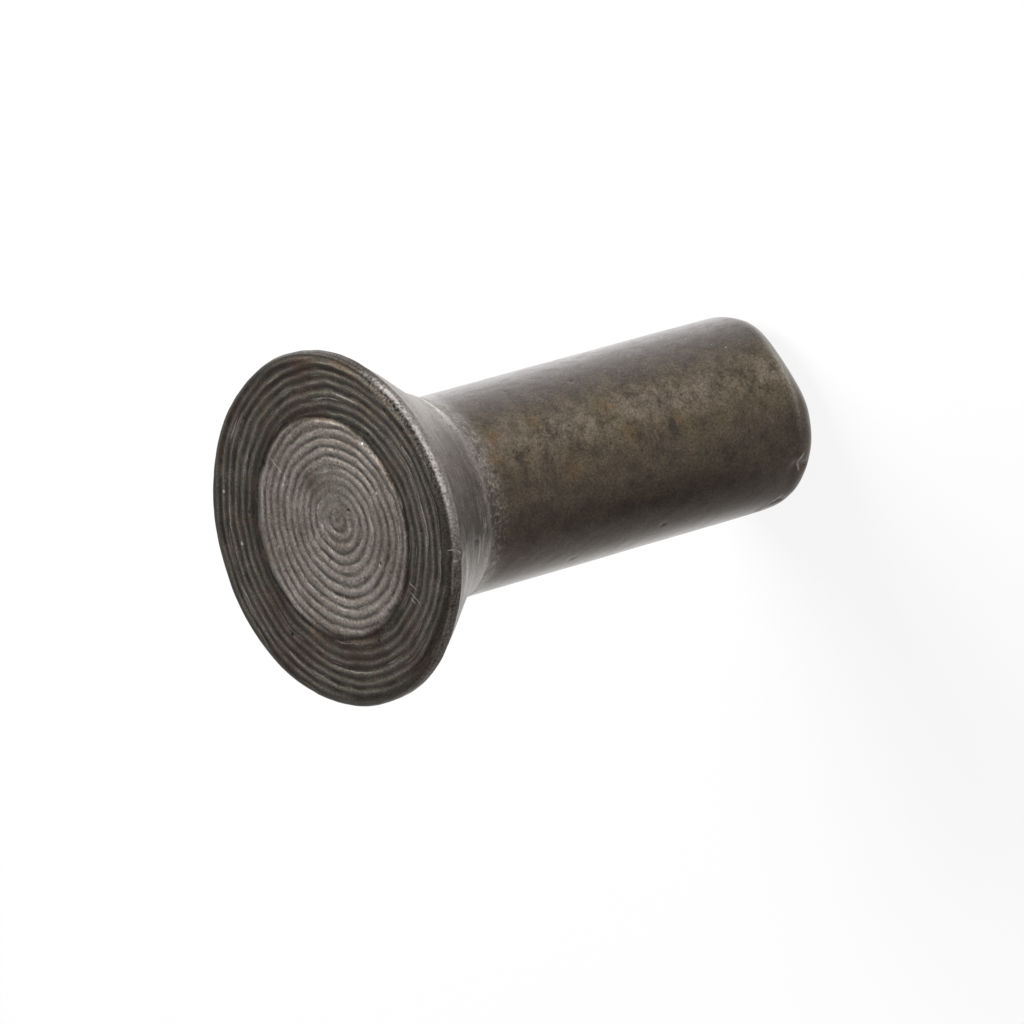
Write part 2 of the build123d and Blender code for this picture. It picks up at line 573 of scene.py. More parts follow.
print("on the rim at 90 degrees:", [round(v / MM, 2) for v in on_side(90, 0.2, 4.4)], "mm")

# %% [markdown]
# A mark is a line on the surface, from one place to another, with half its width in millimetres. A
# pit or a speck is a line of no length. Pits are dark, because scale and dirt stay in them. The T-shaped
# dent on the cone is two short lines, and so is the scar on the rim further down.

# %% Pits
PITS = [(on_face(x, y), on_face(x, y), w) for x, y, w in (
    (2.45, -3.25, 0.07), (1.9, -3.7, 0.07), (2.0, -2.4, 0.06), (2.0, 1.75, 0.07), (-0.6, -3.4, 0.05),
    (0.35, -0.95, 0.05), (-1.1, -1.6, 0.05), (-2.9, -0.75, 0.06), (-2.2, 2.4, 0.06), (0.95, 2.75, 0.05),
)]
PITS += [(on_side(a, d), on_side(a, d), w) for a, d, w in (
    (-18, 3.8, 0.05), (-34, 5.3, 0.05), (-157, 6.3, 0.06),
    (-148, 9.1, 0.06), (-70, 9.9, 0.04), (-41, 7.2, 0.04),
)]
# The T-shaped dent on the cone, two dots on the neck, and the dark side of the burr
PITS += [
    (on_side(-112, 1.75, 3.38), on_side(-114, 2.1, 3.1), 0.03),
    (on_side(-110, 1.72, 3.40), on_side(-112.5, 1.72, 3.40), 0.035),
    (on_side(-50, 2.49, 2.95), on_side(-50, 2.49, 2.95), 0.04),
    (on_side(-59, 2.66, 2.85), on_side(-59, 2.66, 2.85), 0.035),
    (on_side(-167, 12.95, 2.46), on_side(-159, 13.28, 2.44), 0.06),
]
print(len(PITS), "pits")

# %% [markdown]
# Specks and scratches are bare steel, where a knock went through the skin. The scar on the rim shines
# too, and so do the edges of the chip and the burr on the tail.

# %% Specks
SPECKS = [(on_face(x, y), on_face(x, y), w) for x, y, w in (
    (0.25, 3.35, 0.045), (-0.05, 2.0, 0.03), (1.6, 3.5, 0.04), (1.82, -2.13, 0.035), (0.57, -2.16, 0.04),
)]
SPECKS += [(on_side(a, d), on_side(a, d), w) for a, d, w in (
    (-30, 11.4, 0.025), (-42, 11.8, 0.02), (-47, 12.1, 0.025), (-58, 12.6, 0.02), (-71, 12.9, 0.025),
)]
# The scar on the rim, a bright spot beside it, and the chip and the burr on the tail's edge
SPECKS += [
    (on_side(-106.5, 0.05, 4.38), on_side(-106.5, 0.22, 4.42), 0.014),
    (on_side(-106.5, 0.22, 4.42), on_side(-108.5, 0.40, 4.42), 0.014),
    (on_side(-110.3, 0.18, 4.42), on_side(-110.5, 0.28, 4.42), 0.03),
    (on_side(-123, 13.40, 2.45), on_side(-128, 13.28, 2.46), 0.045),
    (on_side(-128, 13.28, 2.46), on_side(-134, 13.36, 2.45), 0.045),
    (on_side(-159, 12.98, 2.46), on_side(-153, 13.22, 2.45), 0.03),
]
print(len(SPECKS), "specks")

# %% [markdown]
# Blots are reddish dirt that dried on the face, and rust has started in a few small spots on one side
# of the shank. Neither has an edge, so a place is enough for each.

# %% Scratches, blots and rust
SCRATCHES = [(on_face(*start), on_face(*end), 0.016) for start, end in (
    ((-1.70, -2.42), (-1.95, -2.64)),
    ((-1.95, -2.38), (-2.32, -2.66)),
    ((-2.10, -2.36), (-2.28, -2.48)),
    ((1.60, 1.10), (2.10, 1.42)),
)]
BLOTS = [on_face(x, y) for x, y in (
    (-3.1, 0.3), (-2.9, -0.6), (-2.6, 2.2), (-1.6, 2.7), (1.3, 0.2),
    (3.4, 2.3), (3.9, -0.4), (-2.8, 2.9), (-3.6, -1.9),
)]
RUST = [on_side(a, d) for a, d in (
    (-65, 3.8), (-77, 3.5), (-63, 5.2), (-65, 7.5), (-82, 7.9), (-84, 9.4), (-95, 5.8),
)]
print(len(SCRATCHES), "scratches,", len(BLOTS), "blots,", len(RUST), "rust spots")

# %% [markdown]
# The pits, the burr and the chip are deep enough for the mesh. Each is a soft dent or bulge about its
# place. The finer marks come back in the material, where their edges can be sharper.

# %% Press the marks into the mesh
def near(start, end, width):
    """1 on the line from start to end, falling to 0 at about twice the width."""
    start, along = np.array(start), np.array(end - start)
    share = np.clip((points - start) @ along / max(along @ along, 1e-12), 0, 1)
    gap = np.linalg.norm(points - start - share[:, None] * along, axis=1)
    return bell(gap, width)


LEAST_DENT = 0.05  # a narrower pit would fall between the mesh's points
BLOT_WIDTH = 0.4 * MM
RUST_WIDTH = 0.2 * MM

pitted = np.max([near(*ends, max(width, LEAST_DENT) * MM) for *ends, width in PITS], 0)
blots = np.max([near(place, place, BLOT_WIDTH) for place in BLOTS], 0)
rust = np.max([near(place, place, RUST_WIDTH) for place in RUST], 0)
burr = near(on_side(-170, 12.8), on_side(-156, 13.05), 0.08 * MM)
under_burr = fade(depth, 12.85 * MM, 13.0 * MM) * band(-168, 8, 16)
chip = near(on_side(-129, 13.2), on_side(-131, 13.5, 2.4), 0.13 * MM)
fuller = bell(z / MM - 0.3, 0.28) * band(-142, 22, 42)
# A thin painted highlight along one side of the tail's edge
tail_edge = bell(z / MM - 0.72, 0.07) * bell(off_by(-75), 22)

# The side moves outwards and the face moves up, in millimetres
on_the_face = (depth <= TOP_ZONE)[:, None]
facing = np.where(on_the_face, np.array([0, 0, 1]), outward)
lift = 0.03 * burr - 0.012 * under_burr + 0.06 * fuller - 0.06 * chip - 0.03 * pitted
points += facing * (lift * MM)[:, None]
points[:, 2] = np.minimum(points[:, 2], LENGTH)
turned_mesh.vertices.foreach_set("co", points.ravel())
turned_mesh.update()
print(f"lowest point {points[:, 2].min() / MM:.3f} mm, widest {np.hypot(*points[:, :2].T).max() / MM:.3f} mm")

# %% [markdown]
# ## Marking out the finishes
#
# The steel is one, but its parts were made or rubbed differently: shank, neck, crest, cone, rim and
# face. Each gets a soft mask, kept on the mesh as an attribute, which the material reads. A mask
# follows the surface, where a pattern cut by height alone would smear over the rounded edges.

# %% Masks of the shank, the neck and the rim
skin = fade(depth, crest_at + 0.1 * MM, NECK_END + 0.4 * MM)
# Painted shade on one side below the crest, standing in for a dark reflection there
painted_shade = fade(depth, crest_at, crest_at + 0.2 * MM) * bell(off_by(-150), 14)
rim_only = radius > 4 * MM
masks = {
    "shank": skin,
    "oiled": skin * (1 - 0.78 * painted_shade),
    "painted_shade": painted_shade,
    # Painted shade beside the crest's painted highlight, on the same side
    "beside": bell(off_by(-40), 13),
    "neck": neck,
    # The crest's colour is a painted highlight, brightest on the side where the light catches it
    "crest": crest * side * (0.2 + 0.8 * bell(off_by(-40), 13)),
    "rim": fade(depth, 0.13 * MM, 0.20 * MM) * (1 - fade(depth, 0.42 * MM, 0.52 * MM)) * rim_only,
    "rim_edge": bell(depth - 0.19 * MM, 0.08 * MM) * rim_only,
}
print("masks:", ", ".join(masks))

# %% [markdown]
# Other masks are sides of the rivet. On the side toward the soft box the shank is painted grey and
# lighter as a painted highlight and sheen, on the camera's half only, and the cone gets a painted
# highlight too. The rim is rubbed grey on the camera's side, and its knocked edge is brightened as a
# painted highlight. The side below is darker, partly its oil and partly painted shade, and the far
# side of the shank is plain.

# %% Masks of the sides
near_side = 1 - fade(off_by(0), 0, 40)
sides = {
    # The rim's knocked edge, brightened as a painted highlight where the light catches it
    "knocked_and_highlit": band(-66, 14, 34),
    "rubbed": band(-76, 16, 42),
    "scarred": band(-122, 12, 28),
    "flared": bell(off_by(-120), 14) * (1 - fade(depth, crest_at - 0.1 * MM, crest_at)),
    "dusky": band(-90, 20, 40) * fade(depth, 1.5 * MM, 2.1 * MM),
    # The side where the lamp's highlight falls: a painted highlight on the cone, painted shade on the lip
    "highlight_side": band(-15, 25, 70),
    # A painted highlight on the shank's side toward the soft box, on the camera's half only
    "lit_side_highlight": band(30, 20, 68) * near_side,
    # Darker on the side away from the light: partly brown oil, partly painted shade
    "oily_and_shaded": band(-135, 30, 62),
    # Partly a painted sheen: the brown turns grey on the side toward the soft box, on the camera's half
    "greyed": band(15, 40, 75) * near_side,
}
masks |= sides
print("masks:", ", ".join(sides))

# %% [markdown]
# The last ones are the tail and what lies on the face: its lip, the disc and the ditch round it, the
# worn patch beside the centre, and the blots. The tail's end is painted lighter against the shadow that
# it mirrors, and a thin painted highlight runs along its edge; a painted highlight streak runs along
# the shank. The lip is darkened, partly its own dark skin and partly painted shade over a reflection.
# The ditch is darker, most on the far side.

# %% Masks of the tail and the face
disc_gap = np.hypot(x - DISC_CENTRE.x, y - DISC_CENTRE.y) - DISC_R
worn_gap = np.hypot(x - WORN_CENTRE.x, y - WORN_CENTRE.y)
far_side = 0.35 + 0.65 * fade(np.cos(angle - math.radians(75)), -0.3, 0.6)
top_only = depth < 0.3 * MM
ends = {
    # The lip is darkened: partly its own dark skin, partly painted shade over the lamp's reflection
    "lip": fade(radius, HEAD_R - 0.40 * MM, HEAD_R - 0.22 * MM) * (1 - fade(depth, 0.14 * MM, 0.22 * MM)),
    # The tail's end is painted lighter, against the shadow that it mirrors
    "tail": 1 - fade(z, 0.1 * MM, 0.9 * MM),
    "tail_edge": tail_edge,
    # A painted highlight streak along the shank
    "highlight_streak": bell(off_by(-70), 12),
    "face": 1 - fade(depth, 0.12 * MM, 0.20 * MM),
    "disc": (1 - fade(disc_gap + 0.05 * MM * lumps, -0.08 * MM, 0.08 * MM)) * top_only,
    "ditch": fade(disc_gap, -0.02 * MM, 0.08 * MM) * (1 - fade(disc_gap, 0.2 * MM, 0.55 * MM)) * far_side,
    "worn": (1 - fade(worn_gap, 0.4 * MM, 1.2 * MM)) * top_only,
    "blots": blots,
    "rust": rust,
}
masks |= ends
for name, mask in masks.items():
    stored = turned_mesh.attributes.new(name, "FLOAT", "POINT")
    stored.data.foreach_set("value", mask.astype(np.float32))
print("masks:", ", ".join(ends))

# %% [markdown]
# ## The steel
#
# The rivet is low-carbon steel, headed cold and left plain. A bright cut of it would be near
# #8E8A86 as a metal, but a skin of oxide and die oil darkens it, most on the face and the shank,
# and turns the shank brown. Steel has no colour under its reflections, so it is all metallic, and
# what changes from place to place is the colour of the skin and how rough it is. A trace of oil is a
# thin coat on the shank. The face is rough, the cone smooth where the polished die burnished it.
#
# All its patterns are noises on the piece's own coordinates, in sizes measured in millimetres: grit,
# granules, mottling, blotches and patches.

# %% The patterns in the steel's skin
steel.use_nodes = True
shade = steel.node_tree
shade.nodes.clear()
coords = add_node(shade, "ShaderNodeTexCoord")["Object"]

# Size in millimetres, detail and roughness. Real grit is near 0.01 mm, too fine to show, so the grain
# is drawn five times as coarse
NOISES = {
    "grain": (0.055, 2.0, 0.6),
    "granule": (0.12, 2.0, 0.6),
    "mottle": (0.45, 5.0, 0.7),
    "blotch": (0.9, 3.0, 0.6),
    "patch": (2.0, 4.0, 0.6),
}
noises = {}
for name, (size, detail, rough) in NOISES.items():
    wanted = {"Vector": coords, "Scale": 1 / (size * MM), "Detail": detail, "Roughness": rough}
    noises[name] = add_node(shade, "ShaderNodeTexNoise", wanted)[0]

print("patterns, mm:", {name: size for name, (size, _, _) in NOISES.items()})

# %% [markdown]
# Tools that turn or draw leave lines, not dots. A noise gives lines when it is stretched: the direction
# round the axis is one way across it, and the height or the count of rings is the other. Drawn and
# pulled lines are short dashes on the shank, spun ones are hoops on the cone, and turned ones lie
# beside the rings of the face.

# %% Lines, dots and the swing of the rings
apart = add_node(shade, "ShaderNodeSeparateXYZ", {0: coords})
flat = add_node(shade, "ShaderNodeVectorMath", {0: coords, 1: (1, 1, 0)}, operation="MULTIPLY")[0]
round_way = add_node(shade, "ShaderNodeVectorMath", {0: flat}, operation="NORMALIZE")[0]
rings = add_node(shade, "ShaderNodeAttribute", attribute_name="rings")["Fac"]
# Lines in each radian round the axis, what runs the other way, and lines in a metre or in a ring of it
LINES = {
    "drawn": (15, apart["Z"], 1 / (0.4 * MM)),
    "pulled": (8, apart["Z"], 1 / (1.5 * MM)),
    "spun": (4, apart["Z"], 1 / (0.09 * MM)),
    "turned": (2.5, rings, 3.7),
}
for name, (lines_round, place, lines_along) in LINES.items():
    around = {0: round_way, "Scale": lines_round}
    across = add_node(shade, "ShaderNodeVectorMath", around, operation="SCALE")[0]
    along = add_node(shade, "ShaderNodeMath", {0: place, 1: lines_along}, operation="MULTIPLY")[0]
    along = add_node(shade, "ShaderNodeCombineXYZ", {2: along})[0]
    lines = add_node(shade, "ShaderNodeVectorMath", {0: across, 1: along}, operation="ADD")[0]
    noises[name] = add_node(shade, "ShaderNodeTexNoise", {"Vector": lines, "Scale": 1.0, "Detail": 3.0})[0]

# Dots of dirt: balls about the points of a Voronoi pattern. Chance gives each its size, so that many
# are too small to show
DOT_GAP = 0.32 * MM
DOT_SIZE = 0.16  # the largest ball's radius, as a share of that gap
dots = add_node(shade, "ShaderNodeTexVoronoi", {"Vector": coords, "Scale": 1 / DOT_GAP})
chance = add_node(shade, "ShaderNodeSeparateColor", {0: dots["Color"]})[0]
chance = add_node(shade, "ShaderNodeMath", {0: chance, 1: DOT_SIZE}, operation="MULTIPLY")[0]
noises["dots"] = add_node(shade, "ShaderNodeMath", {0: chance, 1: dots["Distance"]}, operation="SUBTRACT")[0]

# Half a turn of the count of rings: 0 on a crest, 0.5 in the middle of a groove
noises["swing"] = add_node(shade, "ShaderNodeMath", {0: rings, 1: 0.5}, operation="PINGPONG")[0]
print("lines:", ", ".join(LINES))

# %% [markdown]
# A share says how much of a colour or a roughness a place gets, from 0 to 1. The masks are shares as
# they are. A noise becomes one when the part of it between two values is stretched to that range, and
# a narrow part gives hard-edged spots. When the first value is the greater, the low places show.

# %% Turn masks and noises into shares
RANGES = {
    "ridge": ("swing", 0.16, 0.02),
    "trough": ("swing", 0.2, 0.42),
    "brown": ("mottle", 0.36, 0.62),
    "olive": ("patch", 0.48, 0.62),
    "stain": ("blotch", 0.50, 0.62),
    "green": ("patch", 0.44, 0.60),
    "spark": ("grain", 0.50, 0.66),
    "glint": ("grain", 0.42, 0.60),
    "granules": ("granule", 0.46, 0.62),
    "cloud": ("mottle", 0.42, 0.66),
    "gap": ("mottle", 0.74, 0.52),
    "line": ("turned", 0.38, 0.30),
    "shine": ("turned", 0.62, 0.72),
    "fleck": ("mottle", 0.40, 0.30),
    "dashes": ("drawn", 0.52, 0.64),
    "streaks": ("pulled", 0.44, 0.60),
    "hoops": ("spun", 0.48, 0.62),
    "dots": ("dots", 0.0, 0.03),
}
shares = {}
for name in (*masks, "groove"):
    shares[name] = add_node(shade, "ShaderNodeAttribute", attribute_name=name)["Fac"]
for name, (noise_name, start, end) in RANGES.items():
    stretched = {"Value": noises[noise_name], 1: start, 2: end}
    shares[name] = add_node(shade, "ShaderNodeMapRange", stretched)[0]
print("shares:", len(shares))

# %% [markdown]
# Each small mark is a ball that is stretched along its line and sunk into the steel: a Mapping node
# turns and scales the coordinates so that the ball's skin lies at 1. The nearest ball counts, and the
# grit breaks up its edge.

# %% The small marks as stretched balls
MARK_DEPTH = 0.15 * MM  # how far a ball reaches into the steel
FAR_AWAY = 9.0
RAGGED = 0.8  # how much the grit moves a mark's edge
FACE_GAP = 0.01 * MM  # a mark nearer than this to the top lies on the face
CONE_END = 2.3 * MM  # the cone's straight part ends here

for kind, marks in (("pits", PITS), ("specks", SPECKS), ("scratches", SCRATCHES)):
    nearest = FAR_AWAY
    for start, end, width in marks:
        middle = (start + end) / 2
        below = LENGTH - middle.z
        slope = math.tan(SEAT_ANGLE / 2) if RIM_HEIGHT < below < CONE_END else 0  # the cone faces down
        out_way = Vector((middle.x, middle.y, 0)).normalized() - Vector((0, 0, slope))
        out_way = out_way.normalized() if below > FACE_GAP else Vector((0, 0, 1))
        along = (end - start) - out_way * (end - start).dot(out_way)
        along = along.normalized() if along.length else out_way.orthogonal().normalized()
        turn = Matrix((along, out_way.cross(along), out_way)).transposed().to_euler()
        size = Vector(((end - start).length / 2 + width * MM, width * MM, MARK_DEPTH))
        ball = {"Vector": coords, "Location": middle, "Rotation": turn, "Scale": size}
        ball = add_node(shade, "ShaderNodeMapping", ball, vector_type="TEXTURE")[0]
        gap = add_node(shade, "ShaderNodeVectorMath", {0: ball}, operation="LENGTH")["Value"]
        nearest = add_node(shade, "ShaderNodeMath", {0: nearest, 1: gap}, operation="MINIMUM")[0]
    ragged = {0: noises["grain"], 1: RAGGED, 2: nearest}
    ragged = add_node(shade, "ShaderNodeMath", ragged, operation="MULTIPLY_ADD")[0]
    shares[kind] = add_node(shade, "ShaderNodeMapRange", {"Value": ragged, 1: 1.5, 2: 1.1})[0]
print("marks in the shader:", len(PITS) + len(SPECKS) + len(SCRATCHES))

# %% [markdown]
# The skin has few colours, all near each other: warm greys where it is rubbed, browns where it kept its
# oil, a trace of olive, and nearly black dirt. They are written as sRGB codes, as in any paint program,
# and one function turns them to the linear values that the shader takes.

# %% The steel's colours
def linear(code):
    """An sRGB hex colour as the linear colour that Blender works in."""
    channels = [int(code[i : i + 2], 16) / 255 for i in (1, 3, 5)]
    return tuple(c / 12.92 if c <= 0.04045 else ((c + 0.055) / 1.055) ** 2.4 for c in channels) + (1.0,)


COLOURS = {
    "shank light": "#5C4F3E",
    "shank dark": "#3A2F25",
    "shank olive": "#5C533A",
    "shank tan": "#82766A",
    "shank grey": "#5F595A",
    "shank highlight": "#A89FA1",
    "cone steel": "#6A6059",
    "neck steel": "#4A433A",
    "neck granules": "#A39A8C",
    # Bare steel, and also the colour of the painted highlights
    "bright steel and highlight": "#DDD8D2",
    "rim brown": "#3A322D",
    "rim rubbed": "#7F7973",
    "face outer": "#46423B",
    "face disc": "#6F6963",
    "face worn": "#54514A",
    # Dirt in the grooves, and also the painted shade on the lip
    "dirt and shade": "#151310",
    "stain": "#38291F",
    "rust": "#5E4623",
    "pit": "#1E1514",
    "red dirt": "#2E1C17",
}
colours = {name: linear(code) for name, code in COLOURS.items()}
print("colours:", len(colours))

# %% [markdown]
# The skin is laid like paint, in thin coats. Each part starts from one colour, and each coat over it
# has a strength, the shares that say where it goes, and its colour.
#
# The shank is oily brown, mottled, with a trace of olive. On the side toward the soft box it is painted
# grey and lighter as a painted highlight, in dashes along its length, with a painted highlight streak
# in tan beside it. The side below is darker, partly its oil and partly painted shade.

# %% The shank's and the neck's coats
PARTS = {
    "shank": (
        "shank dark",
        [
            (1.0, ["brown"], "shank light"),
            (0.3, ["olive"], "shank olive"),
            # Painted highlight streak
            (0.5, ["highlight_streak", "brown"], "shank tan"),
            # Partly oil, partly painted shade on the side away from the light
            (0.5, ["oily_and_shaded"], "shank dark"),
            # Partly a painted sheen on the side toward the soft box
            (0.7, ["greyed"], "shank grey"),
            # Painted highlight on the side toward the soft box
            (0.8, ["lit_side_highlight"], "shank highlight"),
            # Painted light on the tail's end
            (0.5, ["tail"], "shank tan"),
            # Painted shade beside the crest
            (0.3, ["beside"], "shank dark"),
            (0.35, ["streaks", "greyed"], "shank dark"),
            (0.55, ["dashes", "greyed"], "shank dark"),
            (0.25, ["dashes"], "shank dark"),
            # Painted shade
            (0.7, ["painted_shade"], "shank dark"),
            (0.3, ["fleck"], "pit"),
        ],
    ),
    "neck": (
        "neck steel",
        [
            (0.2, ["cloud"], "bright steel and highlight"),
            # Partly oil, partly painted shade on the side away from the light
            (0.7, ["oily_and_shaded"], "shank dark"),
            # Painted shade beside the crest
            (0.5, ["beside"], "shank dark"),
            # Painted shade
            (0.8, ["painted_shade"], "shank dark"),
            (0.45, ["granules"], "neck granules"),
            (0.4, ["fleck"], "pit"),
        ],
    ),
}
print("coats:", {part: len(layers) for part, (_, layers) in PARTS.items()})

# %% [markdown]
# The rim is brown, and grey where it is rubbed. Knocks from other rivets left bare grains of steel along
# its edge, brightened as a painted highlight on the side where the light catches them. The face is
# darkest in its grooves, and its lip is darkened, partly its dark skin and partly painted shade. The
# disc, which rubs first, is paler than the rest.

# %% The rim's and the face's coats
PARTS |= {
    "rim": (
        "rim brown",
        [
            (0.3, ["glint"], "rim rubbed"),
            (1.0, ["rubbed"], "rim rubbed"),
            (0.12, ["spark", "rubbed"], "bright steel and highlight"),
            (0.3, ["rim_edge", "rubbed", "granules"], "bright steel and highlight"),
            # Bare grains on the knocked edge, partly a painted highlight
            (0.7, ["rim_edge", "knocked_and_highlit", "cloud"], "bright steel and highlight"),
            (0.7, ["rim_edge", "knocked_and_highlit", "granules"], "bright steel and highlight"),
            (0.5, ["rim_edge", "knocked_and_highlit", "glint"], "bright steel and highlight"),
            (0.4, ["scarred", "cloud"], "rim rubbed"),
            (0.4, ["fleck"], "pit"),
        ],
    ),
    "face": (
        "face outer",
        [
            (0.08, ["ridge", "cloud"], "bright steel and highlight"),
            (0.4, ["trough"], "dirt and shade"),
            (1.0, ["disc"], "face disc"),
            (0.7, ["worn"], "face worn"),
            (0.28, ["green"], "face worn"),
            (0.92, ["groove", "gap"], "dirt and shade"),
            (0.45, ["line"], "dirt and shade"),
            (0.14, ["shine"], "bright steel and highlight"),
            (0.4, ["ditch"], "dirt and shade"),
            # Painted shade over the lamp's reflection on the lip, with the lip's own dark skin
            (0.45, ["lip"], "dirt and shade"),
            (0.35, ["lip", "highlight_side"], "dirt and shade"),
            (0.35, ["stain"], "stain"),
            (0.45, ["blots"], "red dirt"),
        ],
    ),
}
print("coats:", {part: len(layers) for part, (_, layers) in PARTS.items()})

# %% [markdown]
# The whole rivet starts as the cone's steel, with a painted highlight on the side toward the light and
# a little dusky on another side. The other parts are laid over it by their masks, and the dirt, the
# small marks and the painted highlights on the rim's edge and the tail go over all.

# %% The whole rivet's coats
PARTS |= {
    "rivet": (
        "cone steel",
        [
            # Painted highlight on the cone's side toward the light
            (0.15, ["highlight_side"], "bright steel and highlight"),
            (0.14, ["cloud"], "bright steel and highlight"),
            (0.6, ["dusky"], "shank dark"),
            (0.35, ["dashes"], "shank dark"),
            (0.35, ["fleck"], "pit"),
            (0.1, ["hoops"], "bright steel and highlight"),
            (0.3, ["flared", "hoops"], "bright steel and highlight"),
            (1.0, ["shank"], "shank"),
            (0.8, ["neck"], "neck"),
            # Painted highlight along the crest
            (0.8, ["crest"], "bright steel and highlight"),
            (1.0, ["rim"], "rim"),
            (1.0, ["face"], "face"),
            # Painted highlight on the rim's knocked edge
            (0.2, ["rim_edge", "knocked_and_highlit", "glint"], "bright steel and highlight"),
            (1.0, ["rust", "brown"], "rust"),
            (0.5, ["dots"], "pit"),
            # Painted highlight along the tail's edge
            (0.25, ["tail_edge"], "bright steel and highlight"),
            (0.9, ["pits"], "pit"),
            (0.28, ["specks"], "bright steel and highlight"),
            (0.18, ["scratches"], "bright steel and highlight"),
        ],
    ),
}
print("coats over all:", len(PARTS["rivet"][1]))

# %% [markdown]
# Each coat becomes a Mix node. Its shares are multiplied, and a finished part counts as a colour, so
# that the whole rivet can use it.

# %% Lay the coats
for part, (base, layers) in PARTS.items():
    laid = colours[base]
    for strength, names, over in layers:
        share = strength
        for name in names:
            share = add_node(shade, "ShaderNodeMath", {0: share, 1: shares[name]}, operation="MULTIPLY")[0]
        coat = {0: share, 6: laid, 7: colours[over]}
        laid = add_node(shade, "ShaderNodeMix", coat, data_type="RGBA")[2]
    colours[part] = laid
print("parts coloured:", ", ".join(PARTS))

# %% [markdown]
# The face was struck by a turned die and is rough, the shank was drawn through a smooth one, and the
# neck touched nothing. So grit, roughness, relief and oil also differ from part to part. Each starts
# from the cone's value, and the masks add to it.

# %% Grit, roughness, relief and oil
# An amount's value on the cone, and what each part adds to it
AMOUNTS = {
    "grit": (0.28, {"shank": -0.05, "neck": -0.02, "rim": -0.17, "face": -0.09}),
    "rough": (0.34, {"face": 0.12, "shank": -0.08, "rim": 0.08}),
    "relief": (1.0, {"rim": 0.3, "neck": 0.5}),
    "oil": (0.0, {"oiled": 0.45}),
}
amounts = {}
for name, (start, additions) in AMOUNTS.items():
    amounts[name] = start
    for where, more in additions.items():
        step = {0: shares[where], 1: more, 2: amounts[name]}
        amounts[name] = add_node(shade, "ShaderNodeMath", step, operation="MULTIPLY_ADD")[0]
print("on the cone:", {name: start for name, (start, _) in AMOUNTS.items()})

# %% [markdown]
# All of it meets in one shader. The grit makes the colour lighter and darker by a share of itself and
# lifts the surface a few thousandths of a millimetre, and the mottling makes the gloss uneven.

# %% One shader for the whole rivet
UNEVEN = 0.04  # how much the roughness changes from spot to spot
RELIEF = 0.007 * MM
RELIEF_SHARE = 0.6
OIL_ROUGH = 0.25

speckle = {"Value": noises["grain"], 1: NOISE_LOW, 2: NOISE_HIGH, 3: -2.0, 4: 2.0}
speckle = add_node(shade, "ShaderNodeMapRange", speckle)[0]
speckle = {0: speckle, 1: amounts["grit"], 2: 1.0}
speckle = add_node(shade, "ShaderNodeMath", speckle, operation="MULTIPLY_ADD")[0]
colour = {0: 1.0, 6: colours["rivet"], 7: speckle}
colour = add_node(shade, "ShaderNodeMix", colour, data_type="RGBA", blend_type="MULTIPLY")[2]
uneven = {"Value": noises["mottle"], 1: NOISE_LOW, 2: NOISE_HIGH, 3: -UNEVEN, 4: UNEVEN}
uneven = add_node(shade, "ShaderNodeMapRange", uneven)[0]
rough = add_node(shade, "ShaderNodeMath", {0: amounts["rough"], 1: uneven}, operation="ADD")[0]
relief = {0: noises["grain"], 1: amounts["relief"]}
relief = add_node(shade, "ShaderNodeMath", relief, operation="MULTIPLY")[0]
bumps = {"Height": relief, "Distance": RELIEF, "Strength": RELIEF_SHARE}
bump = add_node(shade, "ShaderNodeBump", bumps)["Normal"]
surface = add_node(
    shade,
    "ShaderNodeBsdfPrincipled",
    {
        "Base Color": colour,
        "Metallic": 1.0,
        "Roughness": rough,
        "Normal": bump,
        "Coat Weight": amounts["oil"],
        "Coat Roughness": OIL_ROUGH,
    },
)
add_node(shade, "ShaderNodeOutputMaterial", {"Surface": surface[0]})
print("nodes in the steel:", len(shade.nodes))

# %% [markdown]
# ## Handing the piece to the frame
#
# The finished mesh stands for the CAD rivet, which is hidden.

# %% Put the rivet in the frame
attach(rivet, "root")
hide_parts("rivet")
print("in the frame:", rivet.name)

# %% [markdown]
# ## The studio
#
# A small bright-metal part is shot in a white tent: white floor, white walls, one soft box.
#
# The floor is white paper. What the camera sees of it is mostly plain white, with a little of the real
# light on it, so that the rivet's shadow stays. What the steel mirrors is nearer to the lit paper.

# %% Floor
FLOOR_R = 0.3
FLOOR_GAP = 0.02 * MM  # the paper lies this much under the rivet

bpy.ops.mesh.primitive_circle_add(vertices=96, radius=FLOOR_R, fill_type="NGON", location=(0, 0, -FLOOR_GAP))
floor = bpy.context.object
floor.name = "floor"
print(f"floor {2 * FLOOR_R:.1f} m across")

# %% White paper
SEEN_LIT = 0.1  # the camera sees this share of the paper as it is lit, and the rest plain white
MIRRORED_LIT = 0.9  # what the steel mirrors is nearer to the paper as it is lit, with the shadow on it
# The glow at the rivet's foot is painted light: only the steel's reflections see it
FOOT_LIT = 0.4  # except at the rivet's foot, where the paper glows a little
FOOT_R = 7.0 * MM
PAPER = 0.88

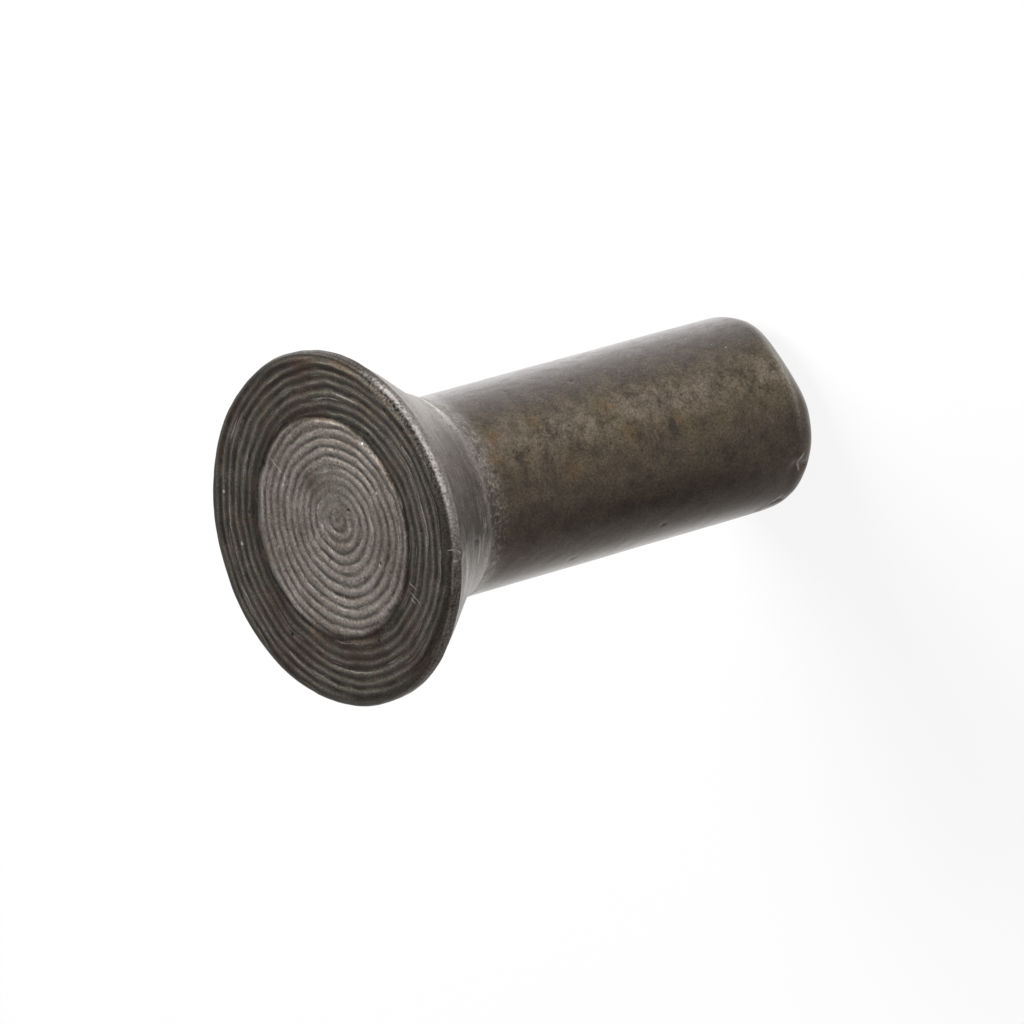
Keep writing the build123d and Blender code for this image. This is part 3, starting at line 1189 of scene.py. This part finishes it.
paper = bpy.data.materials.new("white_paper")
paper.use_nodes = True
tree = paper.node_tree
tree.nodes.clear()
path = add_node(tree, "ShaderNodeLightPath")
seen = add_node(tree, "ShaderNodeMath", {0: path["Is Camera Ray"], 1: 1 - SEEN_LIT}, operation="MULTIPLY")
mirrored = add_node(
    tree, "ShaderNodeMath", {0: path["Is Glossy Ray"], 1: path["Is Transmission Ray"]}, operation="MAXIMUM"
)
place = add_node(tree, "ShaderNodeTexCoord")["Object"]
away = add_node(tree, "ShaderNodeVectorMath", {0: place}, operation="LENGTH")
glow = add_node(
    tree,
    "ShaderNodeMapRange",
    {"Value": away["Value"], 1: SHANK_R, 2: FOOT_R, 3: 1 - FOOT_LIT, 4: 1 - MIRRORED_LIT},
)
mirrored = add_node(tree, "ShaderNodeMath", {0: mirrored[0], 1: glow[0]}, operation="MULTIPLY")
share = add_node(tree, "ShaderNodeMath", {0: seen[0], 1: mirrored[0]}, operation="MAXIMUM")
lit = add_node(tree, "ShaderNodeBsdfDiffuse", {"Color": (PAPER, PAPER, PAPER, 1)})
white = add_node(tree, "ShaderNodeEmission", {"Color": (1, 1, 1, 1), "Strength": 1.0})
mix = add_node(tree, "ShaderNodeMixShader", {0: share[0], 1: lit[0], 2: white[0]})
add_node(tree, "ShaderNodeOutputMaterial", {"Surface": mix[0]})
floor.data.materials.append(paper)
print("nodes in the paper:", len(tree.nodes))

# %% [markdown]
# The walls of the tent are the world. They light the rivet dimly, and the camera and the steel see
# them white.

# %% World
WALLS = 0.15

world = bpy.data.worlds.new("tent")
bpy.context.scene.world = world
world.use_nodes = True
tree = world.node_tree
tree.nodes.clear()
path = add_node(tree, "ShaderNodeLightPath")
seen = add_node(
    tree, "ShaderNodeMath", {0: path["Is Camera Ray"], 1: path["Is Glossy Ray"]}, operation="MAXIMUM"
)
seen = add_node(tree, "ShaderNodeMath", {0: seen[0], 1: path["Is Transmission Ray"]}, operation="MAXIMUM")
white = add_node(tree, "ShaderNodeBackground", {"Color": (1, 1, 1, 1), "Strength": 1.0})
walls = add_node(tree, "ShaderNodeBackground", {"Color": (1, 1, 1, 1), "Strength": WALLS})
mix = add_node(tree, "ShaderNodeMixShader", {0: seen[0], 1: walls[0], 2: white[0]})
add_node(tree, "ShaderNodeOutputWorld", {"Surface": mix[0]})
print(f"walls light the rivet at {WALLS:.0%}")

# %% [markdown]
# One soft box stands to the side and above, and gives the shadow and the steel's modelling. It is over
# half as wide as it is far away, so the shadow's edge is soft.

# %% Soft box
KEY_AZIMUTH = math.radians(25)  # 0 is +X, 90 is +Y
KEY_ELEVATION = math.radians(50)
KEY_DISTANCE = 0.09
KEY_SIZE = 0.05
KEY_WATTS = 0.13

lamp = bpy.data.lights.new("key", "AREA")
lamp.shape = "SQUARE"
lamp.size = KEY_SIZE
lamp.energy = KEY_WATTS
holder = bpy.data.objects.new("key", lamp)
bpy.context.scene.collection.objects.link(holder)
level = Vector((math.cos(KEY_AZIMUTH), math.sin(KEY_AZIMUTH), 0))
way = level * math.cos(KEY_ELEVATION) + Vector((0, 0, math.sin(KEY_ELEVATION)))
holder.location = Vector((0, 0, LENGTH / 2)) + way * KEY_DISTANCE
holder.rotation_mode = "QUATERNION"
holder.rotation_quaternion = way.to_track_quat("Z", "Y")
print("lamp at", [round(v, 3) for v in holder.location])

# %% [markdown]
# A long lens shows the small part without much perspective. The camera is rolled, so that the standing
# rivet is seen as if it lay on its side with the head to the left.

# %% Camera
ELEVATION = math.radians(39.6)
ROLL = math.radians(-105.24)
LENS = 1200.0
DISTANCE = 0.8333
AIM = Vector((-0.735, 0.0, 8.24)) * MM

camera = bpy.data.cameras.new("camera")
camera.lens = LENS
camera.sensor_width = 36.0
camera.clip_start = 0.01
camera.clip_end = 10.0
eye = bpy.data.objects.new("camera", camera)
bpy.context.scene.collection.objects.link(eye)
toward = Vector((0, -math.cos(ELEVATION), math.sin(ELEVATION)))
level_right = Vector((1, 0, 0))
level_up = toward.cross(level_right)
right = level_right * math.cos(ROLL) + level_up * math.sin(ROLL)
up = toward.cross(right)
turn = Matrix((right, up, toward)).transposed().to_4x4()
eye.matrix_world = Matrix.Translation(AIM + toward * DISTANCE) @ turn
bpy.context.scene.camera = eye
bpy.context.scene.view_settings.view_transform = "Standard"
print(f"camera {DISTANCE:.2f} m away, lens {LENS:.0f} mm")
